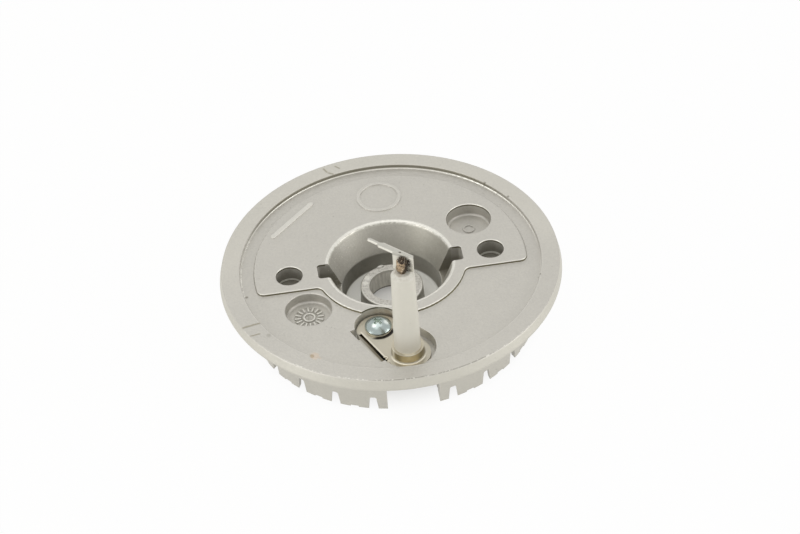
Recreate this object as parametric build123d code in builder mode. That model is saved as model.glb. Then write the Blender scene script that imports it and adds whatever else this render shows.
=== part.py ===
"""Gas burner base with its spark igniter, lying underside up on the tips of its flame ports.

All sizes are in millimetres. The burner axis is Z, the two fixing holes lie along X, and the
igniter stands on the -Y side. The tips of the flame ports are at z = 0.
"""

import os
from math import asin, cos, degrees, hypot, radians, sin

from build123d import *

# Casting: heights, each counted from the surface above it
height = 17.7
rim_step = 1.4
plateau_rise = 0.7
flange_thickness = 3.7
deck_thickness = 4.8

# Casting: flange and rim, reaching out beyond the ring of flame ports
flange_overhang = 7.6
rim_width = 6.3
flange_draft = 0.95
flange_top_round = 0.25
flange_bottom_round = 0.9
flange_root_round = 0.8
step_round = 0.3

# Casting: plateau over the far half and collar round the bowl
plateau_gap = 4.1
plateau_front = 6.6
plateau_corner = 2.2
collar_r = 22.0

# Casting: bowl, heights from its bottom up
bowl_tip_gap = 0.6
bowl_mouth_r = 18.1
bowl_edge_round = 0.9
bowl_waist_r = 14.6
bowl_waist_height = 5.9
bowl_floor_r = 14.2
bowl_floor_round = 1.4
bowl_wall = 2.4
bowl_floor_wall = 1.5
bowl_bottom_round = 1.2

# Casting: venturi tube in the bowl
tube_height = 5.95
tube_r = 9.15
tube_draft = 0.3
tube_bore_r = 6.6
tube_edge_round = 0.4
tube_exit_flare = 0.9
tube_exit_length = 0.9

# Casting: keyways for the lugs of the jet holder
keyway_r = 21.2
keyway_width = 6.0
keyway_corner = 0.9
keyway_shelf = 0.2

# Casting: fixing holes
fixing_r = 29.5
counterbore_r = 3.9
counterbore_depth = 5.7
fixing_hole_r = 2.3
fixing_boss_wall = 2.3
fixing_boss_height = 3.1

# Casting: round marking pockets
pocket_r = 6.65
pocket_centre_r = 29.3
pocket_angle = 29.5
pocket_depth = 4.1
pocket_floor_round = 0.7
pocket_boss_wall = 1.7
pocket_boss_height = 0.8

# Casting: raised marks, left without any lettering
mark_rise = 0.3
mark_ring_r = 6.7
mark_ring_width = 1.0
mark_ring_centre = (0.7, 29.7)
mark_bar_length = 19.2
mark_bar_width = 1.5
mark_bar_centre = (-26.1, 24.2)
mark_bar_angle = 45
dial_ticks = 16
dial_r = 3.3
dial_tick_length = 1.8
dial_tick_width = 0.5
dial_hub_r = 1.8

# Casting: ring of flame ports
ring_r = 42.4
ring_draft = 0.5
ring_wall = 1.5
ring_inner_draft = 0.6
ports = 23
port_depth = 4.3
port_width_tip = 2.35
port_width_roof = 1.5
port_flare = 20
port_corner = 0.4
notch_width = 2.4
notch_depth = 0.45

# Casting: alcove round the spark electrode
alcove_r = 7.4
alcove_wall = 1.8
alcove_to_port = 3.86

# Casting: place of the igniter and of its screw, and the pocket for the plate that joins them
igniter_inset = 7.4
screw_x = -6.8
screw_reach = 11.5
lobe_x = -6.9
lobe_reach = 10.4
clip_pocket_depth = 3.1
clip_gap = 0.5
clip_gap_igniter = 1.6
strip_x = -15.05
strip_reach = 9.2
strip_heading = -64.4
strip_pocket_length = 15.4
strip_pocket_width = 3.4
seat_r = 5.5
seat_depth = 2.0
seat_boss_wall = 1.0
seat_boss_height = 3.1
screw_boss_wall = 2.7
screw_boss_height = 4.1
seat_clearance = 0.1
hole_clearance = 0.2

# Insulator
insulator_foot_r = 3.75
insulator_top_r = 3.25
insulator_length = 31.1
insulator_chamfer = 1.1
insulator_nose_r = 3.4
insulator_nose_length = 5.0
insulator_nose_chamfer = 0.8

# Spark electrode and the weld on its upper end
electrode_r = 0.9
electrode_tip_length = 1.8
electrode_tip_chamfer = 0.5
weld_height = 5.0
weld_r = 1.4
weld_top_r = 0.7

# Terminal blade
blade_thickness = 0.6
blade_width = 5.7
blade_turn = -27.3
blade_offset = 0.75
blade_height = 5.9
blade_top_drop = 1.1
tongue_heading = 135.5
tongue_roll = 23.0
tongue_width = 2.8
tongue_root = 4.9
tongue_shoulder = 4.8
tongue_length = 9.4
tongue_tab_inset = 0.8
tongue_tip_chamfer = 0.55
pinhole_r = 0.45

# Retaining plate
plate_thickness = 0.9
plate_igniter_r = 6.4
plate_lobe_r = 6.2
plate_collar_height = 3.0
plate_collar_wall = 0.8
plate_collar_round = 0.5
strip_start = 2.4
strip_width = 2.1
strip_gap = 0.3
slit_start = 0.7
slit_end = 14.1
slit_width = 0.8

# Clip screw
screw_r = 2.0
screw_head_r = 3.8
screw_head_height = 2.7
screw_head_edge = 0.9
screw_length = 8.0
screw_end_chamfer = 0.5
screw_recess_length = 3.0
screw_recess_width = 0.9
screw_recess_depth = 1.1
screw_recess_draft = 12
screw_recess_turn = 35

# Levels and places that follow from the sizes above
field_z = height - rim_step
plateau_z = field_z + plateau_rise
deck_z = field_z - deck_thickness
flange_z = height - flange_thickness
flange_r = ring_r + flange_overhang
rim_inner_r = flange_r - rim_width
plateau_r = rim_inner_r - plateau_gap
bowl_bottom_z = bowl_tip_gap
bowl_floor_z = bowl_bottom_z + bowl_floor_wall
bowl_waist_z = bowl_floor_z + bowl_waist_height
tube_top_z = bowl_floor_z + tube_height
keyway_z = bowl_waist_z + keyway_shelf
pocket_z = plateau_z - pocket_depth
pocket_x = pocket_centre_r * cos(radians(pocket_angle))
pocket_y = pocket_centre_r * sin(radians(pocket_angle))
ring_inner_r = ring_r - ring_wall
port_first = degrees(asin((alcove_r + alcove_to_port) / ring_r))
port_pitch = (360 - 2 * port_first) / (ports - 1)
igniter_y = igniter_inset - ring_r
screw_y = igniter_y + screw_reach
lobe_y = igniter_y + lobe_reach
strip_place = Location((strip_x, igniter_y + strip_reach), strip_heading)
clip_z = field_z - clip_pocket_depth
plate_z = clip_z + plate_thickness
seat_z = clip_z - seat_depth
insulator_top_z = clip_z + insulator_length
insulator_nose_z = seat_z - insulator_nose_length
electrode_tip_z = insulator_nose_z - electrode_tip_length
electrode_top_z = insulator_top_z + weld_height
collar_outer_r = insulator_foot_r + plate_collar_wall
dome_rise = screw_head_height - screw_head_edge
dome_r = (screw_head_r**2 + dome_rise**2) / (2 * dome_rise)
dome_half_angle = asin(screw_head_r / dome_r) / 2
igniter_axis = Axis((0, igniter_y, 0), (0, 0, 1))


# One flame port on the +X side, cut inward through the ring wall and widening as it goes
with BuildPart() as port_cutter:
    with BuildSketch(Plane.YZ.offset(ring_r + ring_draft)) as port:
        with BuildLine():
            Polyline(
                (-port_width_tip / 2, 0),
                (port_width_tip / 2, 0),
                (port_width_roof / 2, port_depth),
                (-port_width_roof / 2, port_depth),
                close=True,
            )
        make_face()
        fillet(port.vertices().filter_by_position(Axis.Y, port_depth / 2, port_depth), port_corner)
    extrude(amount=-4 * ring_wall, taper=-port_flare)

# One shallow notch in the middle of a tooth
with BuildPart() as notch_cutter:
    with BuildSketch(Plane.YZ.offset(ring_inner_r - ring_wall)):
        Rectangle(notch_width, 2 * notch_depth)
    extrude(amount=4 * ring_wall)


with BuildPart() as burner_base:
    # Flange, deck, ring wall and outside of the bowl in one turned outline
    with BuildSketch(Plane.XZ) as outline:
        with BuildLine():
            Polyline(
                (0, bowl_bottom_z),
                (0, field_z),
                (rim_inner_r, field_z),
                (rim_inner_r, height),
                (flange_r - flange_draft, height),
                (flange_r, flange_z),
                (ring_r + ring_draft, flange_z),
                (ring_r, 0),
                (ring_inner_r, 0),
                (ring_inner_r - ring_inner_draft, deck_z),
                (bowl_mouth_r + bowl_wall / 2, deck_z),
                (bowl_waist_r + bowl_wall, bowl_waist_z),
                (bowl_floor_r + bowl_wall, bowl_bottom_z),
                close=True,
            )
        make_face()
        fillet(outline.vertices().sort_by_distance((flange_r - flange_draft, height))[0], flange_top_round)
        fillet(outline.vertices().sort_by_distance((flange_r, flange_z))[0], flange_bottom_round)
        fillet(outline.vertices().sort_by_distance((ring_r + ring_draft, flange_z))[0], flange_root_round)
        fillet(outline.vertices().sort_by_distance((rim_inner_r, height))[0], step_round)
        bowl_foot = (bowl_floor_r + bowl_wall, bowl_bottom_z)
        fillet(outline.vertices().sort_by_distance(bowl_foot)[0], bowl_bottom_round)
    revolve(axis=Axis.Z)

    # Plateau over the far half, joined to the collar round the bowl
    with BuildSketch(Plane.XY.offset(field_z)) as plateau:
        Circle(plateau_r)
        with Locations((0, -plateau_front)):
            Rectangle(2 * flange_r, flange_r, align=(Align.CENTER, Align.MAX), mode=Mode.SUBTRACT)
        fillet(plateau.vertices(), plateau_corner)
        Circle(collar_r)
        fillet(plateau.vertices().filter_by(lambda v: hypot(v.X, v.Y) < collar_r + 0.1), plateau_corner)
    extrude(amount=plateau_rise)
    fillet(burner_base.edges().filter_by_position(Axis.Z, plateau_z - 0.01, plateau_z + 0.01), step_round)
    fillet(burner_base.edges().filter_by_position(Axis.Z, field_z - 0.01, field_z + 0.01), step_round)

    # Bosses under the fixing holes, the marking pockets and the keyways
    with BuildSketch(Plane.XY.offset(field_z - deck_thickness / 2)):
        with Locations((-fixing_r, 0), (fixing_r, 0)):
            Circle(counterbore_r + fixing_boss_wall)
    extrude(amount=-fixing_boss_height - deck_thickness / 2)
    with BuildSketch(Plane.XY.offset(field_z - deck_thickness / 2)):
        with Locations((-pocket_x, -pocket_y), (pocket_x, pocket_y)):
            Circle(pocket_r + pocket_boss_wall)
    extrude(amount=-pocket_boss_height - deck_thickness / 2)
    with BuildSketch(Plane.XY.offset(keyway_z - bowl_floor_wall)):
        RectangleRounded(2 * (keyway_r + bowl_wall), keyway_width + 2 * bowl_wall, keyway_corner + bowl_wall)
    extrude(amount=field_z - deck_thickness / 2 - keyway_z + bowl_floor_wall)

    # Walls of the alcove that keeps the gas away from the spark electrode
    with BuildSketch():
        with Locations((0, igniter_y)):
            Circle(alcove_r + alcove_wall)
            Rectangle(2 * (alcove_r + alcove_wall), flange_r, align=(Align.CENTER, Align.MAX))
        Circle(ring_r - ring_wall / 2, mode=Mode.INTERSECT)
    extrude(amount=field_z - deck_thickness / 2)
    with BuildSketch():
        with Locations((0, igniter_y)):
            Circle(alcove_r)
            Rectangle(2 * alcove_r, flange_r, align=(Align.CENTER, Align.MAX))
    extrude(amount=deck_z, mode=Mode.SUBTRACT)

    # Bosses for the insulator and for the clip screw
    with BuildSketch(Plane.XY.offset(field_z - deck_thickness / 2)):
        with Locations((0, igniter_y)):
            Circle(seat_r + seat_clearance + seat_boss_wall)
    extrude(amount=-seat_boss_height - deck_thickness / 2)
    with BuildSketch(Plane.XY.offset(field_z - deck_thickness / 2)):
        with Locations((screw_x, screw_y)):
            Circle(screw_r + screw_boss_wall)
    extrude(amount=-screw_boss_height - deck_thickness / 2)

    # Bowl, with the venturi tube left standing in it
    with BuildSketch(Plane.XZ) as bowl:
        with BuildLine():
            Polyline(
                (0, tube_top_z),
                (tube_r, tube_top_z),
                (tube_r + tube_draft, bowl_floor_z),
                (bowl_floor_r, bowl_floor_z),
                (bowl_waist_r, bowl_waist_z),
                (bowl_mouth_r, plateau_z),
                (bowl_mouth_r, height),
                (0, height),
                close=True,
            )
        make_face()
        fillet(bowl.vertices().sort_by_distance((tube_r, tube_top_z))[0], tube_edge_round)
        fillet(bowl.vertices().sort_by_distance((bowl_floor_r, bowl_floor_z))[0], bowl_floor_round)
    revolve(axis=Axis.Z, mode=Mode.SUBTRACT)
    mouth = burner_base.edges().filter_by(GeomType.CIRCLE).filter_by(
        lambda e: abs(e.radius - bowl_mouth_r) < 0.01 and abs(e.center().Z - plateau_z) < 0.01
    )
    fillet(mouth, bowl_edge_round)

    # Keyways down the wall of the bowl, on the line of the fixing holes
    with BuildSketch(Plane.XY.offset(keyway_z)):
        RectangleRounded(2 * keyway_r, keyway_width, keyway_corner)
        Circle(bowl_waist_r, mode=Mode.SUBTRACT)
    extrude(amount=height - keyway_z, mode=Mode.SUBTRACT)

    # Bore of the tube, flared where it opens under the cap
    with BuildSketch(Plane.XZ):
        with BuildLine():
            Polyline(
                (0, 0),
                (tube_bore_r + tube_exit_flare, 0),
                (tube_bore_r + tube_exit_flare, bowl_bottom_z),
                (tube_bore_r, bowl_bottom_z + tube_exit_length),
                (tube_bore_r, height),
                (0, height),
                close=True,
            )
        make_face()
    revolve(axis=Axis.Z, mode=Mode.SUBTRACT)

    # Fixing holes with deep counterbores
    with Locations((-fixing_r, 0, plateau_z), (fixing_r, 0, plateau_z)):
        CounterBoreHole(fixing_hole_r, counterbore_r, counterbore_depth, height)
    hole_mouths = burner_base.edges().filter_by(GeomType.CIRCLE).filter_by(
        lambda e: abs(e.radius - counterbore_r) < 0.01 and abs(e.center().Z - plateau_z) < 0.01
    )
    fillet(hole_mouths, step_round)

    # Round marking pockets, with their floors and mouths rounded
    for x, y, mouth_z in ((-pocket_x, -pocket_y, field_z), (pocket_x, pocket_y, plateau_z)):
        with BuildSketch(Plane(origin=(x, y, 0), x_dir=(1, 0, 0), z_dir=(0, -1, 0))) as pocket:
            with BuildLine():
                Polyline(
                    (0, pocket_z),
                    (pocket_r, pocket_z),
                    (pocket_r, mouth_z),
                    (pocket_r + 2 * step_round, mouth_z),
                    (pocket_r + 2 * step_round, height),
                    (0, height),
                    close=True,
                )
            make_face()
            fillet(pocket.vertices().sort_by_distance((pocket_r, pocket_z))[0], pocket_floor_round)
            fillet(pocket.vertices().sort_by_distance((pocket_r, mouth_z))[0], step_round)
        revolve(axis=Axis((x, y, 0), (0, 0, 1)), mode=Mode.SUBTRACT)

    # Pocket for the retaining plate, seat for the insulator and hole for the screw
    with BuildSketch(Plane.XY.offset(clip_z)):
        with Locations((0, igniter_y)):
            Circle(plate_igniter_r + clip_gap_igniter)
        with Locations((lobe_x, lobe_y)):
            Circle(plate_lobe_r + clip_gap)
        make_hull()
        with Locations(strip_place):
            Rectangle(strip_pocket_length, strip_pocket_width, align=(Align.MIN, Align.MIN))
    extrude(amount=height - clip_z, mode=Mode.SUBTRACT)
    with Locations((0, igniter_y, clip_z)):
        CounterBoreHole(insulator_nose_r + seat_clearance, seat_r + seat_clearance, seat_depth, height)
    with Locations((screw_x, screw_y, clip_z)):
        Hole(screw_r, screw_length - plate_thickness)

    # Flame ports all round but for the place of the alcove, and a notch in each tooth between two of them
    with PolarLocations(0, ports, port_first - 90, (ports - 1) * port_pitch, endpoint=True):
        add(port_cutter.part, mode=Mode.SUBTRACT)
    first_notch = port_first + port_pitch / 2 - 90
    with PolarLocations(0, ports - 1, first_notch, (ports - 2) * port_pitch, endpoint=True):
        add(notch_cutter.part, mode=Mode.SUBTRACT)

    # Raised marks
    with BuildSketch(Plane.XY.offset(plateau_z)):
        with Locations(mark_ring_centre):
            Circle(mark_ring_r)
            Circle(mark_ring_r - mark_ring_width, mode=Mode.SUBTRACT)
        with Locations(Location(mark_bar_centre, mark_bar_angle)):
            SlotOverall(mark_bar_length, mark_bar_width)
    extrude(amount=mark_rise)
    with BuildSketch(Plane.XY.offset(pocket_z)):
        with Locations((-pocket_x, -pocket_y), (pocket_x, pocket_y)):
            Circle(dial_hub_r)
            Circle(dial_hub_r - dial_tick_width, mode=Mode.SUBTRACT)
        with Locations((-pocket_x, -pocket_y)):
            with PolarLocations(dial_r, dial_ticks):
                Rectangle(dial_tick_length, dial_tick_width)
    extrude(amount=mark_rise)
burner_base.part.label = "burner_base"


with BuildPart() as insulator:
    with BuildSketch(Plane.XZ.offset(-igniter_y)):
        with BuildLine():
            Polyline(
                (electrode_r, insulator_nose_z),
                (insulator_nose_r - insulator_nose_chamfer, insulator_nose_z),
                (insulator_nose_r, insulator_nose_z + insulator_nose_chamfer),
                (insulator_nose_r, seat_z),
                (seat_r, seat_z),
                (seat_r, clip_z),
                (insulator_foot_r, clip_z),
                (insulator_foot_r, plate_z + plate_collar_height),
                (insulator_top_r, insulator_top_z - insulator_chamfer),
                (insulator_top_r - insulator_chamfer, insulator_top_z),
                (electrode_r, insulator_top_z),
                close=True,
            )
        make_face()
    revolve(axis=igniter_axis)
insulator.part.label = "insulator"


# The blade stands just behind the electrode, turned about the electrode's axis
blade_plane = Plane(
    origin=(0, igniter_y, insulator_top_z),
    x_dir=(cos(radians(blade_turn)), sin(radians(blade_turn)), 0),
    z_dir=(sin(radians(blade_turn)), -cos(radians(blade_turn)), 0),
)
blade_face = blade_plane.offset(-blade_offset)

with BuildPart() as electrode:
    with BuildSketch(Plane.XZ.offset(-igniter_y)):
        with BuildLine():
            wire = Polyline(
                (electrode_r, insulator_top_z),
                (electrode_r, electrode_tip_z + electrode_tip_chamfer),
                (electrode_r - electrode_tip_chamfer, electrode_tip_z),
                (0, electrode_tip_z),
                (0, electrode_top_z),
                (weld_top_r, electrode_top_z),
            )
            Spline(wire @ 0, (weld_r, insulator_top_z + weld_height / 2), wire @ 1)
        make_face()
    revolve(axis=igniter_axis)
    # Flat where the weld lies against the blade
    with BuildSketch(blade_face):
        Rectangle(4 * weld_r, 2 * weld_height, align=(Align.CENTER, Align.MIN))
    extrude(amount=-2 * weld_r, mode=Mode.SUBTRACT)
electrode.part.label = "electrode"


# The tongue leaves the upper edge of the blade, heading back and rolled a little about its length
tongue_along = Vector(cos(radians(tongue_heading)), sin(radians(tongue_heading)), 0)
tongue_across = Vector(
    -sin(radians(tongue_heading)) * cos(radians(tongue_roll)),
    cos(radians(tongue_heading)) * cos(radians(tongue_roll)),
    sin(radians(tongue_roll)),
)
tongue_plane = Plane(
    origin=blade_face.from_local_coords((-blade_width / 2, blade_height - blade_thickness, 0)),
    x_dir=tongue_along,
    z_dir=tongue_along.cross(tongue_across),
)
fold_end = tongue_plane.to_local_coords(
    blade_face.from_local_coords((blade_width / 2, blade_height - blade_top_drop, 0))
)

with BuildPart() as terminal_blade:
    with BuildSketch(blade_face):
        with BuildLine():
            Polyline(
                (-blade_width / 2, 0),
                (blade_width / 2, 0),
                (blade_width / 2, blade_height - blade_top_drop),
                (-blade_width / 2, blade_height),
                close=True,
            )
        make_face()
    extrude(amount=-blade_thickness)
    with BuildSketch(tongue_plane):
        with BuildLine():
            Polyline(
                (0, 0),
                (tongue_shoulder, 0),
                (tongue_shoulder + tongue_tab_inset, -tongue_tab_inset),
                (tongue_length - tongue_tip_chamfer, -tongue_tab_inset),
                (tongue_length, -tongue_width / 2),
                (tongue_length - tongue_tip_chamfer, tongue_tab_inset - tongue_width),
                (tongue_shoulder + tongue_tab_inset, tongue_tab_inset - tongue_width),
                (tongue_shoulder, -tongue_width),
                (-tongue_root, -tongue_width),
                (fold_end.X, fold_end.Y),
                close=True,
            )
        make_face()
        with Locations((-tongue_width / 2, -tongue_width / 2)):
            Circle(pinhole_r, mode=Mode.SUBTRACT)
    extrude(amount=blade_thickness)
terminal_blade.part.label = "terminal_blade"


with BuildPart() as retaining_plate:
    with BuildSketch(Plane.XY.offset(clip_z)):
        with Locations((0, igniter_y)):
            Circle(plate_igniter_r)
        with Locations((lobe_x, lobe_y)):
            Circle(plate_lobe_r)
        make_hull()
        with Locations(strip_place * Location((strip_start, strip_gap))):
            Rectangle(
                strip_pocket_length - strip_gap - strip_start,
                strip_width + 2 * slit_width,
                align=(Align.MIN, Align.MIN),
            )
        with Locations(strip_place * Location((slit_start, strip_gap + strip_width))):
            Rectangle(slit_end - slit_start, slit_width, align=(Align.MIN, Align.MIN), mode=Mode.SUBTRACT)
        with Locations((screw_x, screw_y)):
            Circle(screw_r + hole_clearance, mode=Mode.SUBTRACT)
        with Locations((0, igniter_y)):
            Circle(insulator_foot_r, mode=Mode.SUBTRACT)
    extrude(amount=plate_thickness)
    with BuildSketch(Plane.XY.offset(plate_z)):
        with Locations((0, igniter_y)):
            Circle(collar_outer_r)
            Circle(insulator_foot_r, mode=Mode.SUBTRACT)
    extrude(amount=plate_collar_height)
    collar_foot = retaining_plate.edges().filter_by(GeomType.CIRCLE).filter_by(
        lambda e: abs(e.radius - collar_outer_r) < 0.01 and abs(e.center().Z - plate_z) < 0.01
    )
    fillet(collar_foot, plate_collar_round)
retaining_plate.part.label = "retaining_plate"


with BuildPart() as clip_screw:
    with BuildSketch(Plane(origin=(screw_x, screw_y, plate_z), x_dir=(1, 0, 0), z_dir=(0, -1, 0))):
        with BuildLine():
            side = Polyline(
                (0, screw_head_height),
                (0, -screw_length),
                (screw_r - screw_end_chamfer, -screw_length),
                (screw_r, screw_end_chamfer - screw_length),
                (screw_r, 0),
                (screw_head_r, 0),
                (screw_head_r, screw_head_edge),
            )
            ThreePointArc(
                side @ 1,
                (
                    dome_r * sin(dome_half_angle),
                    screw_head_height - dome_r + dome_r * cos(dome_half_angle),
                ),
                side @ 0,
            )
        make_face()
    revolve(axis=Axis((screw_x, screw_y, 0), (0, 0, 1)))
    with BuildSketch(Plane.XY.offset(plate_z + screw_head_height)):
        with Locations(Location((screw_x, screw_y), screw_recess_turn)):
            Rectangle(screw_recess_length, screw_recess_width)
            Rectangle(screw_recess_width, screw_recess_length)
    extrude(amount=-screw_recess_depth, taper=screw_recess_draft, mode=Mode.SUBTRACT)
clip_screw.part.label = "clip_screw"


os.makedirs("parts", exist_ok=True)
export_step(burner_base.part, "parts/burner_base.step")
export_step(insulator.part, "parts/insulator.step")
export_step(electrode.part, "parts/electrode.step")
export_step(terminal_blade.part, "parts/terminal_blade.step")
export_step(retaining_plate.part, "parts/retaining_plate.step")
export_step(clip_screw.part, "parts/clip_screw.step")
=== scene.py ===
"""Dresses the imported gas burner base: cast finish, ceramic igniter, clip and screw, on a pale floor."""

import math

import bmesh
import bpy
from bpy.props import FloatProperty, FloatVectorProperty, PointerProperty
from bpy.types import Operator, Panel, PropertyGroup
from mathutils import Matrix, Vector, noise


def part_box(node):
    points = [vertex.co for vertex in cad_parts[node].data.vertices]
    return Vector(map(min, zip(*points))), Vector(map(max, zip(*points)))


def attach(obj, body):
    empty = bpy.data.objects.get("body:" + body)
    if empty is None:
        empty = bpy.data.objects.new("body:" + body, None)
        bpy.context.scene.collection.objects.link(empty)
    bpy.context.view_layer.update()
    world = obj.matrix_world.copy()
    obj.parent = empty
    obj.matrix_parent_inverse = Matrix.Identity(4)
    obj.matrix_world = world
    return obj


bl_info = {
    "name": "Gas burner base",
    "version": (1, 0, 0),
    "blender": (4, 5, 0),
    "location": "3D View > Sidebar > Burner",
    "description": "Cast burner base with its spark igniter, underside up",
    "category": "Object",
}

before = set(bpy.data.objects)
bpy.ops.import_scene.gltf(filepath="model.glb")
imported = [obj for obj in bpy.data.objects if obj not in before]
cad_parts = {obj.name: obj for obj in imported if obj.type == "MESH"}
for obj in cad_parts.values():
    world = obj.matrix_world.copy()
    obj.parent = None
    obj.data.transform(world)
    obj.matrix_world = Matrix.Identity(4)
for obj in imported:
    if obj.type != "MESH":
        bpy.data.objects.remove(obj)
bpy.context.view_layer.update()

MM = 0.001


def middle(node):
    """Middle of a node's box, in millimetres."""
    low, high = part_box(node)
    return (low + high) / 2 / MM


def top(node):
    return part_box(node)[1].z / MM


def bottom(node):
    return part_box(node)[0].z / MM


# Levels and places of the casting and its fittings, in millimetres
RIM = top("burner_base")
RIM_STEP = 1.4
PLATEAU_RISE = 0.7
FIELD = RIM - RIM_STEP
PLATEAU = FIELD + PLATEAU_RISE
FLANK_TOP_R = 49.05
EDGE_LINE_R = 48.75
RIM_INNER_R = 43.7
MARKS_R = 41.0
PLATEAU_R = 39.6
BOWL_MOUTH_R = 18.1
BOWL_WAIST = 8.0
BOWL_WAIST_R = 14.6
BOWL_FLOOR = 2.1
BOWL_FLOOR_R = 14.2
KEYWAY_R = 21.2
KEYWAY_HALF_WIDTH = 3.0
TUBE_TOP = 8.05
TUBE_R = 9.15
BORE_R = 6.6
BORE_FOOT = 1.5
FIXING_R = 29.5
COUNTERBORE_R = 3.9
LEDGE = PLATEAU - 5.7
DIAL_FLOOR = PLATEAU - 4.1
DIAL_PLACE = (-25.5, -14.43)
DIAL_R = 5.1
PORTS_TOP = 8.5
RING_INNER_R = 40.9
CLIP_FLOOR = bottom("retaining_plate")
CLIP_REACH = 12.0
PLATE_TOP = CLIP_FLOOR + 0.9
COLLAR_R = 4.55
COLLAR_TOP = top("retaining_plate")
CERAMIC_TOP = top("insulator")
BLADE_FOLD = CERAMIC_TOP + 4.8
IGNITER = middle("insulator")
SCREW = middle("clip_screw")
SCREW_TOP = top("clip_screw")
SCREW_HEAD_R = 3.8
SCREW_RECESS_R = 1.5
SLIT_START = Vector((-12.2, -25.2))
SLIT_END = Vector((-6.4, -37.3))
SLIT_LENGTH = (SLIT_END - SLIT_START).length
SHANK_R = 2.0

# Drop of the crown of the screw's head, per square of the distance from its middle
SCREW_CROWN = 0.102

# Scratches on the casting, seen from above: start, end and width, in millimetres
SCRATCHES = (
    ((-44.8, -19.9), (-39.5, -18.8), 1.15),
    ((-42.9, -23.6), (-39.9, -23.1), 0.75),
    ((-14.3, 45.8), (-13.2, 43.6), 0.9),
    ((-13.2, 43.6), (-11.4, 42.4), 0.9),
    ((-10.7, 46.3), (-9.2, 44.7), 0.8),
)

# Round marks on the casting, seen from above: x, y and radius, in millimetres
PALE_STAINS = ((-25.7, -33.5, 1.7), (-25.6, -35.1, 1.7))
BROWN_STAINS = ((-26.7, -33.4, 0.9), (-26.6, -35.0, 0.9))
SMUDGE = (-37.7, -24.3, 1.0)
DENTS = ((-42.5, -5.9, 0.6), (38.7, 21.2, 0.5), (41.3, -14.4, 0.5), (33.0, 29.0, 0.5))
TUBE_SPOTS = ((-6.6, 4.4, 1.3), (-7.6, 2.2, 1.2))

# Painted dark reflection and painted glints on the screw, from its middle: x, y and radius, in millimetres
SCREW_REFLECTION_PATCH = (-0.2, 1.1, 1.9)
SCREW_GLINTS = ((2.3, -0.4, 1.1), (-1.3, -1.2, 1.0))

# Depths of the marks in the cast skin, in millimetres
PIT_DEPTH = 0.04
SCRATCH_DEPTH = 0.03
DENT_DEPTH = 0.1
NICK_DEPTH = 0.05

# Where looks come and go across the casting: from none to full, in millimetres
LEFT_X = (-4, -14)
MIDDLE_X = (10, 3)
LOWER_WALL_DARK_X = (2, -8)
BORE_LIT_X = (-9, -3)
BAR_X = (-12, -18)
LEFT_STEP_X = (-36, -40)
BROWNED_X = (-11, -4)
FAR_Y = (14, 34)
FAR_RIM_Y = (-14, 10)
TUBE_NEAR_Y = (2, -3)
NEAR_STEP_Y = (0, -12)
NEAR_EDGE_Y = (-32, -38)
BROWNED_Y = (-25, -21)

# Stretches of the casting that carry a line: from, to and how softly it ends, in millimetres
LEFT_STEP_Y = (-9, 30, 5)
DARK_LINE_X = (-16, 26, 9)

# How sharply a surface turns, and how open it is to the sky, from no edge to a proud one
PROUD_TURN = (0.015, 0.2)
PROUD_SKY = (0.55, 0.85)

# Where the floor comes out of the burner's shade: from none to full, in millimetres from the middle
FLOOR_LIT_R = (20, 46)

# Stage: floor, lamps and clipping in metres, sensor in millimetres, shift in pixels of the photograph
FLOOR_HALF = 3.0
LAMPS = (
    ("overhead", (-0.10, 0.15, 0.95), (0.9, 0.7), "overhead"),
    ("left_side", (-0.80, -0.36, 0.26), (0.5, 0.4), "sides"),
    ("right_side", (0.80, -0.36, 0.26), (0.5, 0.4), "sides"),
)
PHOTO_WIDTH = 800
PHOTO_SHIFT = (10.08, -6.73)
SENSOR_WIDTH = 36.0
CLIP_NEAR, CLIP_FAR = 0.01, 20


def shade(red, green, blue):
    """A colour as it reads on screen, 0 to 255, in the linear values that shaders use."""
    def linear(level):
        level /= 255
        return level / 12.92 if level <= 0.04045 else ((level + 0.055) / 1.055) ** 2.4
    return linear(red), linear(green), linear(blue)


def scaled(colour, factor):
    return tuple(min(part * factor, 1) for part in colour)


# Colours of small marks and of painted highlights, reflections and shade, beside those that the panel sets
CERAMIC_FOOT = shade(176, 165, 140)
CERAMIC_HEAD = shade(160, 148, 126)
CERAMIC_SPECK = shade(140, 130, 112)
STEEL_HIGHLIGHT = shade(232, 229, 220)
SCREW_DARK_REFLECTION = shade(118, 132, 120)
SCREW_HIGHLIGHT = shade(232, 238, 232)
SCREW_SKIRT_REFLECTION = shade(240, 232, 208)
WIRE_DARK = shade(150, 146, 138)
WIRE_PALE = shade(188, 184, 175)
WELD_GLINT = shade(232, 220, 200)
FLOOR_DARK = shade(237, 235, 226)
FLOOR_PALE = shade(240, 238, 230)
WHITE = (1, 1, 1)


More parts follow.
